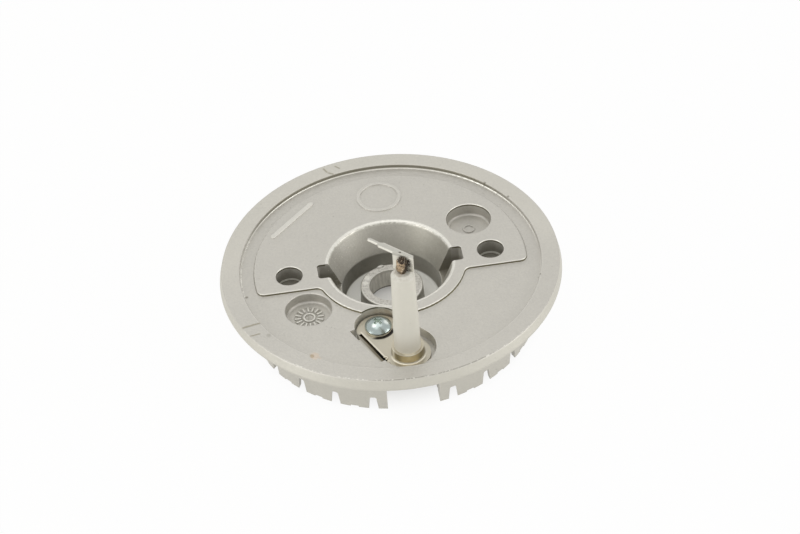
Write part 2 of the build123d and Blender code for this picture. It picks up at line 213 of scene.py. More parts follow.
class CastingLook(PropertyGroup):
    """Finish of the die-cast body."""
    colour: FloatVectorProperty(
        name="Casting", description="Colour of the bare casting",
        subtype="COLOR", default=shade(189, 186, 178), min=0, max=1)
    # Painted light: a paler tone on the far rim, the flange's flank and the flame ring
    flank_light_colour: FloatVectorProperty(
        name="Flank", description="Colour of the rim and of the flank of the flange",
        subtype="COLOR", default=shade(222, 219, 205), min=0, max=1)
    # Painted highlights: this colour stands for light caught by edges, lips, steps and marks, and for light
    # on the clip pocket's wall
    highlight_colour: FloatVectorProperty(
        name="Edges", description="Colour of edges that handling has polished",
        subtype="COLOR", default=shade(228, 226, 217), min=0, max=1)
    # Painted shade in holes, keyways, hollows, dents and round the dial, beside the real pits, streaks,
    # specks and nicks
    shade_and_dirt_colour: FloatVectorProperty(
        name="Creases", description="Colour that gathers in holes and corners",
        subtype="COLOR", default=shade(112, 107, 91), min=0, max=1)
    # Painted shade on the faces of the steps
    step_shade_colour: FloatVectorProperty(
        name="Step lines", description="Colour of the dark lines along the steps",
        subtype="COLOR", default=shade(98, 92, 70), min=0, max=1)
    # Painted shade on the upper wall of the bowl
    bowl_shade_colour: FloatVectorProperty(
        name="Bowl", description="Colour of the dim upper wall of the bowl",
        subtype="COLOR", default=shade(112, 109, 82), min=0, max=1)
    # Painted light on the bowl's floor and on the ledge in each fixing hole
    lit_floor_colour: FloatVectorProperty(
        name="Bowl floor", description="Colour of the pale floor of the bowl",
        subtype="COLOR", default=shade(246, 245, 238), min=0, max=1)
    # Sooty colour together with painted shade on the bowl's lower wall, the tube's wall and the bore's
    # foot, and painted shade in the slit
    soot_and_shade_colour: FloatVectorProperty(
        name="Soot", description="Colour of the lower wall of the bowl",
        subtype="COLOR", default=shade(92, 89, 78), min=0, max=1)
    stain_colour: FloatVectorProperty(
        name="Stains", description="Colour of the brown stains",
        subtype="COLOR", default=shade(164, 142, 106), min=0, max=1)
    peach_colour: FloatVectorProperty(
        name="Pale stain", description="Colour of the pale patch round the near stain",
        subtype="COLOR", default=shade(216, 192, 166), min=0, max=1)
    scratch_colour: FloatVectorProperty(
        name="Scratches", description="Colour of the scratches on the rim",
        subtype="COLOR", default=shade(136, 129, 107), min=0, max=1)
    roughness: FloatProperty(
        name="Roughness", description="Roughness of the cast skin",
        subtype="FACTOR", default=0.5, min=0, max=1)
    metallic: FloatProperty(
        name="Metallic", description="How metallic the bare casting is",
        subtype="FACTOR", default=0.7, min=0, max=1)
    grain_depth: FloatProperty(
        name="Grain depth", description="Height of the casting grain",
        unit="LENGTH", default=0.00006, min=0)


class IgniterLook(PropertyGroup):
    """Finish of the spark igniter."""
    ceramic_colour: FloatVectorProperty(
        name="Ceramic", description="Colour of the insulator",
        subtype="COLOR", default=shade(221, 218, 207), min=0, max=1)
    scorch_colour: FloatVectorProperty(
        name="Scorch", description="Darkest colour of the scorched weld",
        subtype="COLOR", default=shade(52, 42, 31), min=0, max=1)
    weld_colour: FloatVectorProperty(
        name="Weld", description="Colour of the browned weld metal",
        subtype="COLOR", default=shade(172, 150, 122), min=0, max=1)
    blade_colour: FloatVectorProperty(
        name="Blade", description="Colour of the plated terminal blade",
        subtype="COLOR", default=shade(230, 227, 215), min=0, max=1)


class ClipLook(PropertyGroup):
    """Finish of the retaining plate and its screw."""
    plate_colour: FloatVectorProperty(
        name="Plate", description="Colour of the plated steel",
        subtype="COLOR", default=shade(192, 186, 169), min=0, max=1)
    strip_colour: FloatVectorProperty(
        name="Strip", description="Colour of the strip beside the slit",
        subtype="COLOR", default=shade(186, 183, 174), min=0, max=1)
    # Painted highlights on the foot and lip of the collar, the slit's edge and the curl
    lip_highlight_colour: FloatVectorProperty(
        name="Bright lines", description="Colour of the bright edges of the sheet",
        subtype="COLOR", default=shade(238, 232, 214), min=0, max=1)
    # Painted shadow in the slit and under the screw's head
    shadow_colour: FloatVectorProperty(
        name="Shadows", description="Colour in the slit and under the screw's head",
        subtype="COLOR", default=shade(48, 42, 32), min=0, max=1)
    heat_colour: FloatVectorProperty(
        name="Heat tint", description="Colour of the drawn collar",
        subtype="COLOR", default=shade(242, 222, 172), min=0, max=1)
    screw_colour: FloatVectorProperty(
        name="Screw", description="Colour of the zinc on the screw",
        subtype="COLOR", default=shade(164, 174, 171), min=0, max=1)


class StageLook(PropertyGroup):
    """Camera, floor and light."""
    lens: FloatProperty(
        name="Lens", description="Focal length of the camera, in millimetres", default=90, min=1)
    distance: FloatProperty(
        name="Distance", description="From the camera to the middle of the rim",
        unit="LENGTH", default=0.57956, min=0.01)
    azimuth: FloatProperty(
        name="Azimuth", description="Turn of the camera round the burner",
        subtype="ANGLE", default=math.radians(-5.09))
    elevation: FloatProperty(
        name="Elevation", description="Height of the camera above the horizon",
        subtype="ANGLE", default=math.radians(41.8))
    roll: FloatProperty(
        name="Roll", description="Tilt of the camera about its line of sight",
        subtype="ANGLE", default=math.radians(-4.36))
    sky: FloatProperty(
        name="Sky", description="Level of the light from all round", default=0.5, min=0)
    overhead: FloatProperty(
        name="Overhead", description="Power of the overhead softbox, in watts", default=2.0, min=0)
    sides: FloatProperty(
        name="Sides", description="Power of each low softbox beside the camera, in watts",
        default=2.9, min=0)
    glow: FloatProperty(
        name="Floor white", description="Share of plain white in the floor as the camera sees it",
        subtype="FACTOR", default=0.97, min=0, max=1)
    glow_under: FloatProperty(
        name="Floor white under", description="The same under the burner, where the floor lies in shade",
        subtype="FACTOR", default=0.22, min=0, max=1)


class Signal:
    """One socket of a shader, so that shader maths reads as plain expressions."""

    def __init__(self, shader, socket):
        self.shader, self.socket = shader, socket

    def also(self, name):
        """Another output of the same node."""
        return Signal(self.shader, self.socket.node.outputs[name])

    def maths(self, operation, *values):
        return self.shader.node("ShaderNodeMath", {"operation": operation}, dict(enumerate(values)))

    def __add__(self, other):
        return self.maths("ADD", self, other)

    def __sub__(self, other):
        return self.maths("SUBTRACT", self, other)

    def __rsub__(self, other):
        return self.maths("SUBTRACT", other, self)

    def __mul__(self, other):
        return self.maths("MULTIPLY", self, other)

    def __pow__(self, other):
        return self.maths("POWER", self, other)

    __radd__ = __add__
    __rmul__ = __mul__

    def highest(self, *others):
        result = self
        for other in others:
            result = self.maths("MAXIMUM", result, other)
        return result

    def size(self):
        return self.maths("ABSOLUTE", self)

    def swing(self, amount):
        """A noise about its middle value, times an amount."""
        return (self - 0.5) * amount

    def ramp(self, start, end):
        """0 up to start, 1 from end on, smooth between; start may be the greater."""
        return self.shader.node(
            "ShaderNodeMapRange", {"interpolation_type": "SMOOTHSTEP"},
            {"Value": self, "From Min": start, "From Max": end})

    def band(self, low, high, soft):
        """1 between low and high, fading over soft inside them."""
        return self.ramp(low, low + soft) * self.ramp(high, high - soft)


class Shader:
    """A node tree whose nodes all come from one method."""

    def __init__(self, tree):
        self.tree = tree
        tree.nodes.clear()

    def node(self, kind, settings=None, inputs=None, out=0):
        """Adds a node: its settings first, then the values or links of its sockets."""
        made = self.tree.nodes.new(kind)
        for key, value in (settings or {}).items():
            setattr(made, key, value)
        for key, value in (inputs or {}).items():
            self.feed(made.inputs[key], value)
        return Signal(self, made.outputs[out]) if made.outputs else None

    def feed(self, socket, value):
        if isinstance(value, Signal):
            self.tree.links.new(value.socket, socket)
        elif socket.type == "RGBA":
            socket.default_value = (*value, 1)
        else:
            socket.default_value = value

    def seen(self):
        """1 for rays from the camera and for mirrored or bent ones."""
        ray = self.node("ShaderNodeLightPath", out="Is Camera Ray")
        return ray.highest(ray.also("Is Glossy Ray"), ray.also("Is Transmission Ray"))


class Finish(Shader):
    """A procedural material; lengths inside it are in millimetres, in the burner's frame.

    A number added to a named level or radius says how far a mask reaches past it.
    """

    def __init__(self, name):
        self.material = bpy.data.materials.new(name)
        self.material.use_nodes = True
        super().__init__(self.material.node_tree)
        self.surface = self.node("ShaderNodeBsdfPrincipled")
        self.node("ShaderNodeOutputMaterial", inputs={"Surface": self.surface})
        self.place = self.vector("SCALE", self.node("ShaderNodeTexCoord", out="Object"), scale=1 / MM)
        self.x = self.node("ShaderNodeSeparateXYZ", inputs={0: self.place}, out="X")
        self.y, self.z = self.x.also("Y"), self.x.also("Z")

    def vector(self, operation, first, second=None, scale=None, out=0):
        inputs = {0: first}
        if second is not None:
            inputs[1] = second
        if scale is not None:
            inputs["Scale"] = scale
        return self.node("ShaderNodeVectorMath", {"operation": operation}, inputs, out)

    def mix(self, factor, first, second):
        """Colour first where factor is 0, second where it is 1."""
        return self.node(
            "ShaderNodeMix", {"data_type": "RGBA"}, {0: factor, 6: first, 7: second}, out=2)

    def mottle(self, factor, colour, darkest, palest):
        """Starts the colour of the finish between two shares of one colour."""
        self.colour = self.mix(factor, scaled(colour, darkest), scaled(colour, palest))

    def paint(self, mask, colour, strength=1.0):
        """Lays a colour over what the finish has so far."""
        self.colour = self.mix(mask * strength, self.colour, colour)

    def noise(self, per_mm, detail=3.0, roughness=0.55, stretch=None):
        place = self.place if stretch is None else self.vector("MULTIPLY", self.place, stretch)
        return self.node(
            "ShaderNodeTexNoise",
            inputs={"Vector": place, "Scale": per_mm, "Detail": detail, "Roughness": roughness})

    def away(self, x, y):
        """Distance from an upright line through x, y."""
        return ((self.x - x) ** 2 + (self.y - y) ** 2) ** 0.5

    def blot(self, x, y, radius, soft=0.5):
        """A round patch with a ragged edge."""
        ragged = self.noise(per_mm=1.1 / radius).swing(radius * 0.9)
        return (self.away(x, y) + ragged).ramp(radius, radius * (1 - soft))

    def stroke(self, start, end, width, ragged=0.5):
        """A thin line between two points, seen from above, fading towards its ends."""
        (ax, ay), (bx, by) = start, end
        length = math.hypot(bx - ax, by - ay)
        ux, uy = (bx - ax) / length, (by - ay) / length
        along = (self.x - ax) * ux + (self.y - ay) * uy
        off = (self.y - ay) * ux - (self.x - ax) * uy + self.noise(per_mm=0.9).swing(ragged * width)
        return off.size().ramp(width / 2, 0.1 * width) * along.band(-0.3, length + 0.3, 0.7)

    def most(self, masks):
        """The highest of several masks."""
        first, *others = masks
        return first.highest(*others)

    def edges(self, radius_mm, reach_mm):
        """Two masks: proud edges, and how open a spot is to the sky."""
        normal = self.node("ShaderNodeNewGeometry", out="Normal")
        turn = 1 - self.vector("DOT_PRODUCT", normal, self.rounded(radius_mm), out="Value")
        open_sky = self.node(
            "ShaderNodeAmbientOcclusion", {"samples": 8, "only_local": False},
            {"Distance": reach_mm * MM}, out="AO")
        return turn.ramp(*PROUD_TURN) * open_sky.ramp(*PROUD_SKY), open_sky

    def rounded(self, radius_mm):
        return self.node("ShaderNodeBevel", {"samples": 6}, {"Radius": radius_mm * MM})

    def bump(self, height_mm, normal=None):
        inputs = {"Strength": 1.0, "Distance": MM, "Height": height_mm}
        if normal is not None:
            inputs["Normal"] = normal
        return self.node("ShaderNodeBump", inputs=inputs)

    def slit_lines(self):
        """Distance across the slit in the plate, growing to its left, and along it from its upper end."""
        ux, uy = (SLIT_END - SLIT_START).normalized()
        x, y = self.x - SLIT_START.x, self.y - SLIT_START.y
        return x * uy - y * ux, x * ux + y * uy

    def set(self, **values):
        """Feeds the surface's sockets; names have _ for the space."""
        for key, value in values.items():
            self.feed(self.surface.socket.node.inputs[key.replace("_", " ")], value)

    def wear(self, *pieces):
        for piece in pieces:
            piece.data.materials.clear()
            piece.data.materials.append(self.material)


class CastAluminium(Finish):
    """Cast aluminium with grain, painted shade in holes and hollows, painted highlights on edges, scratches
    and stains.
    """

    def __init__(self, look):
        super().__init__("cast_aluminium")
        self.look = look
        self.out = self.away(0, 0)
        self.proud, self.open_sky = self.edges(radius_mm=0.45, reach_mm=8.0)
        self.grain = self.noise(per_mm=1.3, detail=4, roughness=0.65)
        self.fine = self.noise(per_mm=4.0, detail=3, roughness=0.6)
        self.skin = self.noise(per_mm=0.35, detail=4, roughness=0.6)
        self.speckle = self.noise(per_mm=1.6, detail=3, roughness=0.7)
        self.nicks = self.noise(per_mm=1.6, detail=3, roughness=0.6)
        self.pits = self.noise(per_mm=1.2, detail=2, roughness=0.5).ramp(0.70, 0.80)
        self.left = self.x.ramp(*LEFT_X)
        self.far = self.y.ramp(*FAR_Y)
        self.paint_metal()
        self.paint_bowl()
        self.paint_tube()
        self.paint_holes()
        self.paint_steps()
        self.paint_bright_places()
        self.paint_marks_of_use()
        self.paint_clip_pocket()
        self.finish_surface()

    def paint_metal(self):
        """Bare metal, with painted light that makes it a little lighter on the far rim, and lighter and
        warmer on the flank and the flame ring.
        """
        out, look = self.out, self.look
        cloud = self.noise(per_mm=0.05, detail=2, roughness=0.5)
        tint = 0.5 + self.grain.swing(1.0) + self.fine.swing(0.6) + self.skin.swing(0.4) + cloud.swing(0.3)
        self.mottle(tint, look.colour, 0.86, 1.14)
        rim = out.ramp(RIM_INNER_R, RIM_INNER_R + 0.4) * self.z.ramp(RIM - 0.4, RIM - 0.2)
        rim = rim * self.y.ramp(*FAR_RIM_Y)
        flank = out.ramp(FLANK_TOP_R - 0.1, FLANK_TOP_R + 0.1)
        ring = out.ramp(RING_INNER_R - 2.9, RING_INNER_R - 1.9) * self.z.ramp(PORTS_TOP, PORTS_TOP - 1.5)
        self.paint((rim * 0.18).highest(flank * 0.36, ring * 0.2), look.flank_light_colour)
        self.paint(self.pits, look.shade_and_dirt_colour, 0.3)

    def paint_bowl(self):
        """Painted shade on the upper wall, sooty colour with painted shade below the waist, painted light
        on the pale floor.
        """
        out, z, look = self.out, self.z, self.look
        self.wall = out.band(BOWL_WAIST_R - 0.8, BOWL_MOUTH_R + 0.6, 0.4)
        self.wall = self.wall * z.band(BOWL_WAIST - 0.3, PLATEAU - 0.4, 0.6)
        soot_and_shade_band = out.band(BOWL_FLOOR_R - 1.4, BOWL_WAIST_R + 0.6, 0.5)
        soot_and_shade_band = soot_and_shade_band * z.band(BOWL_FLOOR + 0.2, BOWL_WAIST + 0.1, 0.7)
        self.floor = out.band(TUBE_R - 0.1, BOWL_FLOOR_R, 0.4)
        self.floor = self.floor * z.band(BOWL_FLOOR - 0.4, BOWL_FLOOR + 0.7, 0.3)
        # How much painted shade lies on the upper wall, less on the left, with sparkle
        dim = 0.29 - 0.2 * self.left - 0.16 * self.x.size().ramp(*MIDDLE_X)
        dim = dim + (self.speckle - 0.5) * (0.25 + 0.8 * self.left)
        self.paint(self.wall, look.bowl_shade_colour, dim)
        # Sooty colour and painted shade on the lower wall, stronger towards the left
        self.paint(soot_and_shade_band, look.soot_and_shade_colour, 0.25 + 0.3 * self.skin + 0.35 * self.x.ramp(*LOWER_WALL_DARK_X))
        # Painted light on the bowl's floor
        self.paint(self.floor, look.lit_floor_colour)

    def paint_tube(self):
        """Speckled top with a painted highlight on its near edge and bright spots, sooty colour with
        painted shade on its wall, and a streaked bore with painted light on its left and painted shade at
        its foot.
        """
        out, z, look = self.out, self.z, self.look
        face = out.ramp(TUBE_R + 0.2, TUBE_R) * z.ramp(TUBE_TOP - 0.4, TUBE_TOP - 0.1)
        edge = face * out.ramp(TUBE_R - 0.55, TUBE_R - 0.3) * self.y.ramp(*TUBE_NEAR_Y)
        spots = face * self.most(self.blot(*spot, soft=0.6) for spot in TUBE_SPOTS)
        wall = out.band(TUBE_R - 0.3, TUBE_R + 0.9, 0.3) * z.band(BOWL_FLOOR + 0.3, TUBE_TOP - 0.3, 0.4)
        self.paint(face * (self.speckle - 0.45), look.highlight_colour, 1.4)
        self.paint(face * (0.5 - self.speckle), look.shade_and_dirt_colour, 2.0)
        self.paint((edge * 0.7).highest(spots * 0.6), look.highlight_colour)
        # Sooty colour and painted shade on the tube's wall; then streaks in the bore, painted light on its
        # left and painted shade at its foot
        self.paint(wall, look.soot_and_shade_colour, 0.3)
        self.bore = out.ramp(BORE_R + 0.3, BORE_R + 0.05) * z.ramp(TUBE_TOP - 0.4, TUBE_TOP - 1.2)
        streaks = self.noise(per_mm=1.6, detail=3, roughness=0.6, stretch=(1.0, 1.0, 0.12))
        self.paint(self.bore * streaks.ramp(0.45, 0.65), look.shade_and_dirt_colour, 0.12)
        self.paint(self.bore * streaks.ramp(0.7, 0.3) * self.x.ramp(*BORE_LIT_X), look.highlight_colour, 0.6)
        self.paint(self.bore * z.ramp(BORE_FOOT + 0.6, BORE_FOOT + 0.3), look.soot_and_shade_colour, 0.8)

    def paint_holes(self):
        """Painted shade in the fixing holes and keyways, where little of the sky reaches them, and a little
        in any hollow.
        """
        z = self.z
        hole = ((self.x.size() - FIXING_R) ** 2 + self.y ** 2) ** 0.5
        keyway = self.y.size().ramp(KEYWAY_HALF_WIDTH + 0.2, KEYWAY_HALF_WIDTH)
        keyway = keyway * self.out.band(BOWL_WAIST_R, KEYWAY_R + 0.4, 0.4)
        keyway = keyway * z.band(BOWL_WAIST - 0.3, PLATEAU - 0.4, 0.4)
        keyway_foot = keyway * z.ramp(PLATEAU - 2, PLATEAU - 5)
        inside = hole.ramp(COUNTERBORE_R + 0.1, COUNTERBORE_R - 0.05).highest(keyway * 0.55)
        self.deep = (self.open_sky.ramp(0.7, 0.2) * inside).highest(self.open_sky.ramp(0.35, 0.08) * 0.12)
        self.paint((self.deep * 0.56).highest(keyway_foot * 0.6), self.look.shade_and_dirt_colour)
        self.ledge_ring = hole.band(COUNTERBORE_R - 0.3, COUNTERBORE_R + 0.2, 0.1)
        self.ledge_ring = self.ledge_ring * z.band(LEDGE + 0.4, LEDGE + 1.3, 0.12)

    def paint_steps(self):
        """Painted shade on the face of the rim's step, at the far side, and of the plateau's."""
        out, z = self.out, self.z
        rim_face = out.band(RIM_INNER_R - 0.6, RIM_INNER_R + 0.5, 0.1) * z.band(FIELD + 0.3, RIM, 0.12)
        self.plateau_edge = out.ramp(PLATEAU_R + 0.9, PLATEAU_R - 1.1) * 0.8
        self.plateau_edge = self.plateau_edge + 0.2 * out.ramp(PLATEAU_R + 1.4, PLATEAU_R + 1.0)
        plateau_face = self.plateau_edge * z.band(FIELD + 0.01, FIELD + 0.5, 0.06)
        self.paint(rim_face * self.far, self.look.step_shade_colour, 0.65)
        self.paint(plateau_face, self.look.step_shade_colour)

    def paint_bright_places(self):
        """Painted highlights on edges, lips, steps, raised marks and the dial's marks, painted shade round
        the dial in its pocket, painted light on a ring at the foot of each hole.
        """
        out, z, look = self.out, self.z, self.look
        lip = out.band(BOWL_MOUTH_R - 0.5, BOWL_MOUTH_R + 1.0, 0.35) * z.ramp(PLATEAU - 1.2, PLATEAU - 0.5)
        rim_foot = out.band(RIM_INNER_R - 1.0, RIM_INNER_R + 0.1, 0.15)
        rim_foot = rim_foot * z.band(FIELD + 0.02, FIELD + 0.42, 0.08)
        left_step = out.band(RIM_INNER_R - 0.6, RIM_INNER_R + 0.2, 0.25) * z.ramp(FIELD - 0.2, FIELD)
        left_step = left_step * self.x.ramp(*LEFT_STEP_X) * self.y.band(*LEFT_STEP_Y)
        near_step = out.band(RIM_INNER_R - 0.4, RIM_INNER_R + 0.6, 0.25) * z.ramp(RIM - 0.8, RIM - 0.3)
        near_step = near_step * self.y.ramp(*NEAR_STEP_Y)
        plateau_top = self.plateau_edge * z.band(PLATEAU - 0.22, PLATEAU - 0.005, 0.05)
        raised = out.ramp(MARKS_R + 1.0, MARKS_R) * z.band(PLATEAU + 0.05, PLATEAU + 0.6, 0.15)
        # Painted highlights on proud edges, raised marks, the bowl's lip, the steps and sparkle on the left
        # of the bowl wall
        self.bright = (self.proud * 0.6).highest(
            raised * (0.12 + 0.28 * self.x.ramp(*BAR_X)),
            lip * (0.45 + 1.4 * (self.grain - 0.35)),
            rim_foot * (0.35 + 0.55 * self.far),
            plateau_top * 0.75,
            left_step * self.nicks.ramp(0.44, 0.58) * 0.7,
            near_step * 0.13,
            self.wall * self.left * self.speckle.ramp(0.56, 0.66) * 0.6)
        from_dial = self.away(*DIAL_PLACE)
        dial_marks = from_dial.ramp(DIAL_R + 0.5, DIAL_R + 0.1)
        dial_marks = dial_marks * z.band(DIAL_FLOOR + 0.1, DIAL_FLOOR + 0.6, 0.12)
        dial_ground = from_dial.ramp(DIAL_R - 0.3, DIAL_R - 1.1)
        dial_ground = dial_ground * z.band(DIAL_FLOOR - 0.4, DIAL_FLOOR + 0.2, 0.15)
        # Painted shade round the dial in its pocket
        self.paint(dial_ground, look.shade_and_dirt_colour, 0.3 + self.speckle.swing(2.0))
        self.paint(self.bright.highest(dial_marks * 0.6), look.highlight_colour)
        # Painted light on the ledge in each fixing hole
        self.paint(self.ledge_ring, look.lit_floor_colour)

    def paint_marks_of_use(self):
        """Scratches, stains and a smudge, painted shade in the dents, and the row of nicks along the near
        edge with painted highlights between them.
        """
        z, look = self.z, self.look
        on_top = z.ramp(FIELD - 0.5, FIELD - 0.1)
        self.scratches = on_top * self.most(self.stroke(*scratch) for scratch in SCRATCHES)
        self.dents = on_top * self.most(self.blot(*dent) for dent in DENTS)
        pale_stain = on_top * self.most(self.blot(*stain) for stain in PALE_STAINS)
        brown_stain = on_top * self.most(self.blot(*stain) for stain in BROWN_STAINS)
        smudge = on_top * self.blot(*SMUDGE, soft=0.7)
        edge_line = (self.out - EDGE_LINE_R).size().ramp(0.28, 0.08) * z.ramp(RIM - 0.5, RIM - 0.2)
        edge_line = edge_line * self.y.ramp(*NEAR_EDGE_Y)
        self.dark_line = edge_line * self.x.band(*DARK_LINE_X) * self.nicks.ramp(0.62, 0.5)
        # Painted highlights between the nicks along the near edge
        bright_line = edge_line * self.nicks.ramp(0.52, 0.6)
        self.paint(self.scratches, look.scratch_colour, 0.65)
        self.paint(pale_stain, look.peach_colour, 0.38)
        self.paint(brown_stain, look.stain_colour, 0.55)
        # Painted shade in the dents, and a darker smudge
        self.paint((smudge * 0.3).highest(self.dents * 0.6), look.shade_and_dirt_colour)
        self.paint(self.dark_line, look.shade_and_dirt_colour, 0.5)
        self.paint(bright_line, look.highlight_colour, 0.65)

    def paint_clip_pocket(self):
        """Painted light on the wall round the clip, browned behind the screw, and painted shade in the slit
        below the plate.
        """
        z, look = self.z, self.look
        from_middle = self.away((SCREW.x + IGNITER.x) / 2, (SCREW.y + IGNITER.y) / 2)
        wall = from_middle.ramp(CLIP_REACH + 1.0, CLIP_REACH) * z.band(CLIP_FLOOR, FIELD, 0.3)
        browned = wall * self.y.ramp(*BROWNED_Y) * self.x.ramp(*BROWNED_X) * self.skin.ramp(0.3, 0.6)
        across, along = self.slit_lines()
        slit = across.size().ramp(0.9, 0.6) * along.band(-0.4, SLIT_LENGTH + 0.4, 0.4)
        slit = slit * z.ramp(PLATE_TOP, CLIP_FLOOR + 0.2)
        slit_dark = (across.ramp(0.3, -0.1) * 0.6).highest(along.ramp(1, 10))
        slit_colour = self.mix(slit_dark, look.stain_colour, scaled(look.soot_and_shade_colour, 0.12))
        # Painted light on the pocket's wall
        self.paint(wall, look.highlight_colour, 0.7)
        self.paint(browned, look.stain_colour, 0.5)
        self.paint(slit, slit_colour)

    def finish_surface(self):
        """Grain and marks in the skin, duller where it is pale."""
        grain, skin = self.grain, self.skin
        depth = self.look.grain_depth / MM
        height = grain.swing(depth) + self.fine.swing(depth * 0.3) + skin.swing(depth)
        height = height - self.pits * PIT_DEPTH - self.scratches * SCRATCH_DEPTH
        height = height - self.dents * DENT_DEPTH - self.dark_line * NICK_DEPTH
        dull = (self.floor * 0.65).highest(self.ledge_ring * 0.6, self.bore * 0.4)
        roughness = self.look.roughness + skin.swing(0.2) + grain.swing(0.15)
        self.set(
            Base_Color=self.colour, Metallic=self.look.metallic - dull,
            Roughness=roughness - self.bright * 0.1 + self.deep * 0.15,
            Normal=self.bump(height, self.rounded(0.25)))


def ceramic(look):
    """White alumina, browned at its foot and soiled a little at its head."""
    f = Finish("ceramic")
    skin = f.noise(per_mm=0.8, detail=4, roughness=0.6)
    grain = f.noise(per_mm=4.0, detail=3, roughness=0.6)
    speck = f.noise(per_mm=1.5, detail=2, roughness=0.5).ramp(0.72, 0.78)
    foot = f.z.ramp(COLLAR_TOP + 8.0, COLLAR_TOP) * (0.5 + 0.7 * skin)
    head = f.z.ramp(CERAMIC_TOP - 1.4, CERAMIC_TOP - 0.2) * skin.ramp(0.4, 0.65)
    f.mottle(0.5 + skin.swing(0.6), look.ceramic_colour, 0.95, 1.04)
    f.paint(foot, CERAMIC_FOOT, 0.45)
    f.paint(head, CERAMIC_HEAD, 0.35)
    f.paint(speck, CERAMIC_SPECK, 0.25)
    f.set(Base_Color=f.colour, Roughness=0.4 + skin.swing(0.15), Specular_IOR_Level=0.4,
          Normal=f.bump(grain.swing(0.01) + skin.swing(0.03)))
    return f


class PlatedSteel(Finish):
    """Plated metal with fine rolling marks, a tint in places, painted shade in its corners and painted
    highlights on its edges.
    """

    def __init__(self, name, colour, roughness, metallic, corner_shade):
        super().__init__(name)
        self.base_colour, self.corner_shade = colour, corner_shade
        self.proud, self.open_sky = self.edges(radius_mm=0.2, reach_mm=1.5)
        self.grain = self.noise(per_mm=3.0, detail=4, roughness=0.6)
        self.marks = self.noise(per_mm=1.0, detail=3, roughness=0.6, stretch=(6.0, 0.5, 1.0))
        self.set(
            Metallic=metallic, Roughness=roughness + self.grain.swing(0.2),
            Normal=self.bump(self.grain.swing(0.015) + self.marks.swing(0.015), self.rounded(0.12)))

    def paint_plating(self, tint, tint_colour):
        """Lays the metal's own colour, its tint, painted shade in its corners and painted highlights on its
        edges.
        """
        self.mottle(0.5 + self.grain.swing(0.5) + self.marks.swing(0.5), self.base_colour, 0.86, 1.12)
        self.paint(tint, tint_colour)
        # Painted shade in the corners, from how little sky reaches them, and painted highlights on the
        # proud edges
        self.paint(self.open_sky.ramp(0.8, 0.2), scaled(tint_colour, 0.4), self.corner_shade)
        self.paint(self.proud, STEEL_HIGHLIGHT, 0.5)


def plate_steel(look):
    """Pressed plate: pale on the flat, golden-brown on the drawn collar, with painted highlights at its
    foot and lip.
    """
    f = PlatedSteel("plate_steel", look.plate_colour, roughness=0.36, metallic=0.6, corner_shade=0.15)
    from_collar = f.away(IGNITER.x, IGNITER.y)
    aside = (f.x - IGNITER.x).size()
    collar = from_collar.ramp(COLLAR_R + 0.45, COLLAR_R + 0.05)
    tint = collar * f.z.band(PLATE_TOP + 0.35, COLLAR_TOP + 0.05, 0.25) * (0.7 + 0.4 * f.noise(per_mm=0.7))
    f.paint_plating(tint, look.heat_colour)

    # Strip beside the slit, painted shade on the sides of the collar, a brown margin with painted shade
    # along the slit, a painted highlight on the slit's edge and painted shadow in the slit
    across, along = f.slit_lines()
    beside = along.band(-1.0, SLIT_LENGTH + 0.6, 0.6)
    margin = across.ramp(0.2, 0.4) * across.ramp(1.5, 0.9) * (0.55 + 0.35 * along.ramp(1, 10))
    sunk = f.z.ramp(PLATE_TOP - 0.02, PLATE_TOP - 0.12)
    f.paint(across.ramp(0.2, 0.5), look.strip_colour, 0.85)
    f.paint(tint * aside.ramp(1.3, 3.5), scaled(look.heat_colour, 0.2), 0.88)
    f.paint(margin * beside, scaled(look.heat_colour, 0.14))
    f.paint(across.band(-0.95, -0.35, 0.15) * beside, look.lip_highlight_colour, 0.6)
    f.paint(across.size().ramp(0.5, 0.44) * beside * sunk, look.shadow_colour)

    # Curl at the slit's end with a painted highlight, painted shadow beside the screw's head, painted
    # highlights on the foot and lip of the collar
    hook = f.away(SLIT_END.x, SLIT_END.y).ramp(2.6, 2.2) * f.z.ramp(PLATE_TOP + 0.02, PLATE_TOP + 0.1)
    lower_right = ((f.x - SCREW.x) * 0.45 - (f.y - SCREW.y) * 0.89).ramp(2.2, 3.4)
    screw_shadow = f.away(SCREW.x, SCREW.y).ramp(5.0, 4.6) * lower_right
    screw_shadow = screw_shadow * f.z.ramp(PLATE_TOP - 0.1, PLATE_TOP - 0.02)
    foot = from_collar.band(COLLAR_R - 0.1, COLLAR_R + 0.65, 0.1)
    foot = foot * f.z.band(PLATE_TOP - 0.1, PLATE_TOP + 0.6, 0.12) * f.y.ramp(IGNITER.y, IGNITER.y - 3)
    lip = collar * f.z.ramp(COLLAR_TOP - 0.35, COLLAR_TOP - 0.1)
    lip = lip * f.y.ramp(IGNITER.y - 2, IGNITER.y - 3.4) * aside.ramp(2.2, 0.8)
    f.paint(hook, look.lip_highlight_colour, 0.9)
    f.paint(screw_shadow, scaled(look.shadow_colour, 0.5))
    f.paint((foot * 0.85).highest(lip * 0.9), look.lip_highlight_colour)
    f.set(Base_Color=f.colour)
    return f


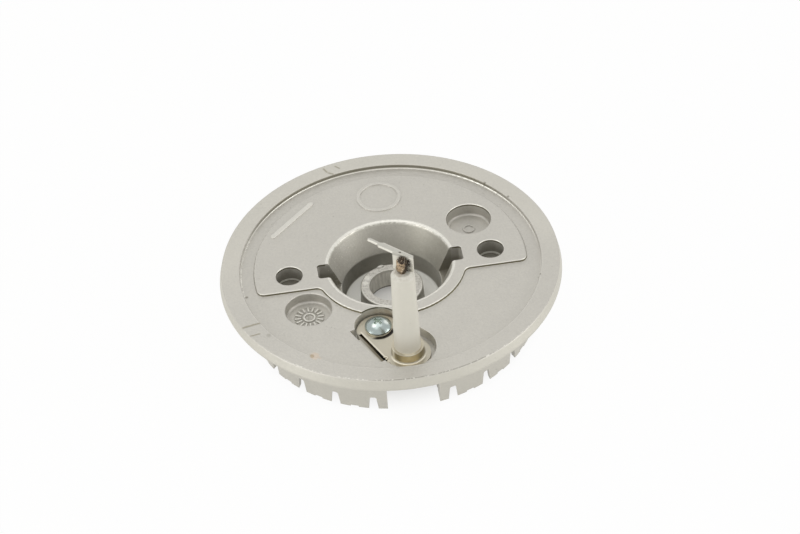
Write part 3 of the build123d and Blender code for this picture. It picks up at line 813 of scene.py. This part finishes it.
def zinc_screw(look):
    """Bluish zinc, with painted light in its recess, a painted reflection round its skirt, a painted dark
    reflection on its head and two painted glints.
    """
    metallic = 0.9
    f = PlatedSteel("zinc_screw", look.screw_colour, roughness=0.2, metallic=metallic, corner_shade=0.0)

    def blot(x, y, radius, soft):
        return f.blot(SCREW.x + x, SCREW.y + y, radius, soft)

    off = f.away(SCREW.x, SCREW.y)
    recess = (SCREW_TOP - f.z - off ** 2 * SCREW_CROWN).ramp(0.1, 0.3)
    recess = recess * off.ramp(SCREW_RECESS_R + 0.4, SCREW_RECESS_R + 0.2)
    glints = f.most(blot(*glint, soft=0.8) for glint in SCREW_GLINTS)
    skirt = off.ramp(SCREW_HEAD_R - 0.5, SCREW_HEAD_R - 0.2)
    skirt = skirt * f.z.band(PLATE_TOP - 0.2, PLATE_TOP + 0.6, 0.15)
    # Painted dark reflection on the head, painted light in the recess, painted glints and a painted
    # reflection round the skirt
    f.paint_plating(blot(*SCREW_REFLECTION_PATCH, soft=0.7) * 0.75, SCREW_DARK_REFLECTION)
    f.paint((recess * 0.8).highest(glints * 0.85), SCREW_HIGHLIGHT)
    f.paint(skirt, SCREW_SKIRT_REFLECTION, 0.85)
    f.set(Base_Color=f.colour, Metallic=metallic - skirt * 0.6)
    return f


def terminal_steel(look):
    """Plated blade, burnt black and brown round the weld, with painted shade above its fold."""
    f = PlatedSteel("terminal_steel", look.blade_colour, roughness=0.42, metallic=0.5, corner_shade=0.35)
    burnt = f.noise(per_mm=0.9, detail=4, roughness=0.7).ramp(0.35, 0.6)
    burnt = burnt * f.away(IGNITER.x + 0.6, IGNITER.y).ramp(2.6, 1.3)
    f.paint_plating(burnt * f.z.ramp(BLADE_FOLD, BLADE_FOLD - 0.6), look.scorch_colour)
    # Painted shade on the blade above its fold
    f.paint(f.z.ramp(BLADE_FOLD - 0.1, BLADE_FOLD + 0.2), scaled(look.blade_colour, 0.62), 0.8)
    f.set(Base_Color=f.colour)
    return f


def electrode_wire(look):
    """Nickel wire, scorched brown and black where it is welded, with painted shade joining the scorch on
    its right side and painted glints.
    """
    f = Finish("electrode_wire")
    skin = f.noise(per_mm=1.1, detail=4, roughness=0.65)
    grain = f.noise(per_mm=2.4, detail=3, roughness=0.6)
    weld = f.z.ramp(CERAMIC_TOP - 0.6, CERAMIC_TOP + 0.1)
    right = (f.x - IGNITER.x).ramp(-0.6, 1.0)
    upper_end = f.z.ramp(CERAMIC_TOP + 3.4, CERAMIC_TOP + 4.4)
    lower_end = f.z.ramp(CERAMIC_TOP + 1.2, CERAMIC_TOP + 0.2)
    # Scorch towards the weld's ends, and painted shade together with scorch on its right side
    burnt = (skin.swing(4.0) + right.highest(upper_end, lower_end * 0.7)).ramp(0.15, 0.75)
    scorched = f.mix(burnt, look.weld_colour, look.scorch_colour)
    # Painted glints on the weld
    scorched = f.mix(grain.ramp(0.6, 0.68) * 0.8, scorched, WELD_GLINT)
    f.colour = f.mix(skin, WIRE_DARK, WIRE_PALE)
    f.paint(weld, scorched)
    f.set(Base_Color=f.colour, Metallic=0.75, Roughness=0.32 + grain.swing(0.4),
          Normal=f.bump(skin.swing(0.2) + grain.swing(0.1)))
    return f


def lump(centre, half_sizes, turn, ragged, knobs):
    """An uneven blob, in millimetres: turn is about the upright, knobs is how many bumps it has across."""
    finer, finer_share = 2.3, 0.5
    shape = bmesh.new()
    bmesh.ops.create_icosphere(shape, subdivisions=5, radius=1.0)
    place = Matrix.Translation(centre) @ Matrix.Rotation(turn, 4, "Z")
    for point in shape.verts:
        bumps = noise.noise(point.co * knobs) + finer_share * noise.noise(point.co * knobs * finer)
        swell = 1 + ragged * bumps
        point.co = place @ Vector([part * half * swell for part, half in zip(point.co, half_sizes)])
    return shape


def casting_flash():
    """The lump of flash that the mould left on the upper edge of the tube."""
    bearing = math.radians(105)
    spot = Vector((math.cos(bearing), math.sin(bearing), 0)) * (TUBE_R - 0.45)
    spot.z = TUBE_TOP + 0.05
    return lump(spot, half_sizes=(1.15, 0.4, 0.42), turn=bearing + math.pi / 2, ragged=0.25, knobs=1.7)


def weld_bead():
    """The bead that joins the electrode to its blade, lying against the blade and on the ceramic."""
    blade_turn = math.radians(-27.3)
    forward = Vector((math.sin(blade_turn), -math.cos(blade_turn), 0))
    behind, lowest, rise = -0.95, CERAMIC_TOP - 0.3, 2.4
    axis = Vector((IGNITER.x, IGNITER.y, 0))
    centre = axis + Vector((0, 0, CERAMIC_TOP + rise))
    shape = lump(centre, half_sizes=(1.5, 1.45, 2.75), turn=blade_turn, ragged=0.28, knobs=1.9)
    for point in shape.verts:
        reach = (point.co - axis).dot(forward)
        if reach < behind:
            point.co += forward * (behind - reach)
        point.co.z = max(point.co.z, lowest)
    return shape


def swept(path, section):
    """A closed tube of the given section along a path of frames, capped at both ends."""
    shape = bmesh.new()
    rings = [[shape.verts.new(turn @ Vector(corner)) for corner in section] for turn in path]
    for first, second in zip(rings, rings[1:]):
        for index in range(len(section)):
            after = (index + 1) % len(section)
            shape.faces.new((first[index], first[after], second[after], second[index]))
    shape.faces.new(rings[0])
    shape.faces.new(reversed(rings[-1]))
    return shape


def turned(centre, angle, radius):
    """A frame at a radius from a centre, turned by an angle about the upright."""
    return Matrix.Translation(centre) @ Matrix.Rotation(angle, 4, "Z") @ Matrix.Translation((radius, 0, 0))


def slit_hook():
    """The small curl of sheet at the lower end of the slit in the plate."""
    curl_r, half_width, half_thickness = 0.5, 0.2, 0.2
    start, sweep, steps = 150, 250, 24
    centre = Vector((SLIT_END.x - 0.05, SLIT_END.y + 1.1, PLATE_TOP + 0.15))
    section = ((-half_width, 0, -half_thickness), (half_width, 0, -half_thickness),
               (half_width, 0, half_thickness), (-half_width, 0, half_thickness))
    path = [turned(centre, math.radians(start - sweep * step / steps), curl_r) for step in range(steps + 1)]
    return swept(path, section)


def screw_thread():
    """The turns of thread on the end of the screw that shows under the casting."""
    pitch, crest, root, crest_half, root_half = 0.7, 0.18, 0.05, 0.06, 0.3
    start, end = bottom("clip_screw") + 0.55, bottom("clip_screw") + 1.6
    turns = (end - start) / pitch
    steps_per_turn = 24
    steps = round(steps_per_turn * turns)
    section = ((-root, 0, -root_half), (crest, 0, -crest_half),
               (crest, 0, crest_half), (-root, 0, root_half))
    path = []
    for step in range(steps + 1):
        share = step / steps
        place = Vector((SCREW.x, SCREW.y, start + (end - start) * share))
        path.append(turned(place, math.tau * share * turns, SHANK_R))
    return swept(path, section)


def add_piece(name, shape, finish):
    """Turns a shape in millimetres into a piece that goes with the burner."""
    bmesh.ops.recalc_face_normals(shape, faces=shape.faces)
    bmesh.ops.scale(shape, vec=(MM, MM, MM), verts=shape.verts)
    mesh = bpy.data.meshes.new(name)
    shape.to_mesh(mesh)
    shape.free()
    mesh.shade_smooth()
    piece = bpy.data.objects.new(name, mesh)
    bpy.context.scene.collection.objects.link(piece)
    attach(piece, "root")
    finish.wear(piece)


class BURNER_OT_casting(Operator):
    """Give the casting its worn, grainy finish and the lump of flash on its tube"""
    bl_idname = "burner.casting"
    bl_label = "Casting"

    def execute(self, context):
        finish = CastAluminium(context.scene.burner_casting)
        finish.wear(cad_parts["burner_base"])
        add_piece("casting_flash", casting_flash(), finish)
        return {"FINISHED"}


class BURNER_OT_igniter(Operator):
    """Finish the insulator, the electrode and the terminal blade, and lay the weld bead"""
    bl_idname = "burner.igniter"
    bl_label = "Igniter"

    def execute(self, context):
        look = context.scene.burner_igniter
        ceramic(look).wear(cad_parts["insulator"])
        terminal_steel(look).wear(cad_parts["terminal_blade"])
        wire = electrode_wire(look)
        wire.wear(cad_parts["electrode"])
        add_piece("weld_bead", weld_bead(), wire)
        return {"FINISHED"}


class BURNER_OT_clip(Operator):
    """Finish the retaining plate and its screw, with the curl on the plate and the screw's thread"""
    bl_idname = "burner.clip"
    bl_label = "Clip and screw"

    def execute(self, context):
        look = context.scene.burner_clip
        plate = plate_steel(look)
        plate.wear(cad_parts["retaining_plate"])
        add_piece("slit_hook", slit_hook(), plate)
        zinc = zinc_screw(look)
        zinc.wear(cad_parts["clip_screw"])
        add_piece("screw_thread", screw_thread(), zinc)
        return {"FINISHED"}


class BURNER_OT_stage(Operator):
    """Lay the pale floor, hang the softboxes and set the camera where the photograph was taken"""
    bl_idname = "burner.stage"
    bl_label = "Stage"

    def execute(self, context):
        look = context.scene.burner_stage
        context.scene.view_settings.view_transform = "Standard"
        self.lay_floor(context.scene, look)
        self.light(context.scene, look)
        self.set_camera(context.scene, look)
        return {"FINISHED"}

    def lay_floor(self, scene, look):
        corners = [(x * FLOOR_HALF, y * FLOOR_HALF, 0) for x, y in ((-1, -1), (1, -1), (1, 1), (-1, 1))]
        mesh = bpy.data.meshes.new("floor")
        mesh.from_pydata(corners, [], [range(len(corners))])
        floor = bpy.data.objects.new("floor", mesh)
        scene.collection.objects.link(floor)
        f = Finish("pale_floor")
        tone = f.noise(per_mm=0.02, detail=2, roughness=0.5)
        f.set(Base_Color=f.mix(tone, FLOOR_DARK, FLOOR_PALE), Roughness=0.9, Specular_IOR_Level=0.1)
        white = f.node("ShaderNodeEmission", inputs={"Color": WHITE, "Strength": 1.0})
        share = look.glow_under + (look.glow - look.glow_under) * f.away(0, 0).ramp(*FLOOR_LIT_R)
        blend = f.node("ShaderNodeMixShader", inputs={0: f.seen() * share, 1: f.surface, 2: white})
        f.feed(f.tree.nodes["Material Output"].inputs["Surface"], blend)
        f.wear(floor)

    def light(self, scene, look):
        scene.world = bpy.data.worlds.new("studio")
        scene.world.use_nodes = True
        sky = Shader(scene.world.node_tree)
        level = look.sky + (1 - look.sky) * sky.seen()
        white = sky.node("ShaderNodeBackground", inputs={"Color": WHITE, "Strength": level})
        sky.node("ShaderNodeOutputWorld", inputs={"Surface": white})
        for name, place, size, power in LAMPS:
            lamp = bpy.data.lights.new(name, "AREA")
            lamp.shape = "RECTANGLE"
            lamp.size, lamp.size_y = size
            lamp.energy = getattr(look, power)
            box = bpy.data.objects.new(name, lamp)
            scene.collection.objects.link(box)
            box.matrix_world = aimed(Vector(place), Vector((0, 0, RIM * MM)))

    def set_camera(self, scene, look):
        target = Vector((0, 0, RIM * MM))
        back = Vector((
            math.sin(look.azimuth) * math.cos(look.elevation),
            -math.cos(look.azimuth) * math.cos(look.elevation),
            math.sin(look.elevation)))
        lens = bpy.data.cameras.new("camera")
        lens.lens, lens.sensor_width, lens.sensor_fit = look.lens, SENSOR_WIDTH, "HORIZONTAL"
        lens.shift_x, lens.shift_y = (pixels / PHOTO_WIDTH for pixels in PHOTO_SHIFT)
        lens.clip_start, lens.clip_end = CLIP_NEAR, CLIP_FAR
        camera = bpy.data.objects.new("camera", lens)
        scene.collection.objects.link(camera)
        sight = aimed(target + back * look.distance, target)
        camera.matrix_world = sight @ Matrix.Rotation(look.roll, 4, "Z")
        scene.camera = camera


def aimed(place, target):
    """Matrix of a lamp or camera at place that looks at target."""
    return Matrix.LocRotScale(place, (target - place).to_track_quat("-Z", "Y"), None)


class BURNER_PT_panel(Panel):
    """Looks of the burner base"""
    bl_idname = "BURNER_PT_panel"
    bl_label = "Gas burner base"
    bl_space_type = "VIEW_3D"
    bl_region_type = "UI"
    bl_category = "Burner"

    def draw(self, context):
        for look, operator in PIECES:
            column = self.layout.column(align=True)
            settings = getattr(context.scene, look)
            for key in settings.__annotations__:
                column.prop(settings, key)
            column.operator(operator)


PIECES = (
    ("burner_casting", "burner.casting"),
    ("burner_igniter", "burner.igniter"),
    ("burner_clip", "burner.clip"),
    ("burner_stage", "burner.stage"),
)
LOOKS = {
    "burner_casting": CastingLook,
    "burner_igniter": IgniterLook,
    "burner_clip": ClipLook,
    "burner_stage": StageLook,
}
CLASSES = (
    *LOOKS.values(), BURNER_OT_casting, BURNER_OT_igniter, BURNER_OT_clip, BURNER_OT_stage, BURNER_PT_panel,
)


def register():
    for cls in CLASSES:
        bpy.utils.register_class(cls)
    for name, look in LOOKS.items():
        setattr(bpy.types.Scene, name, PointerProperty(type=look))


def unregister():
    for name in LOOKS:
        delattr(bpy.types.Scene, name)
    for cls in reversed(CLASSES):
        bpy.utils.unregister_class(cls)


def main():
    register()
    bpy.ops.burner.casting()
    bpy.ops.burner.igniter()
    bpy.ops.burner.clip()
    bpy.ops.burner.stage()


if __name__ == "__main__":
    main()
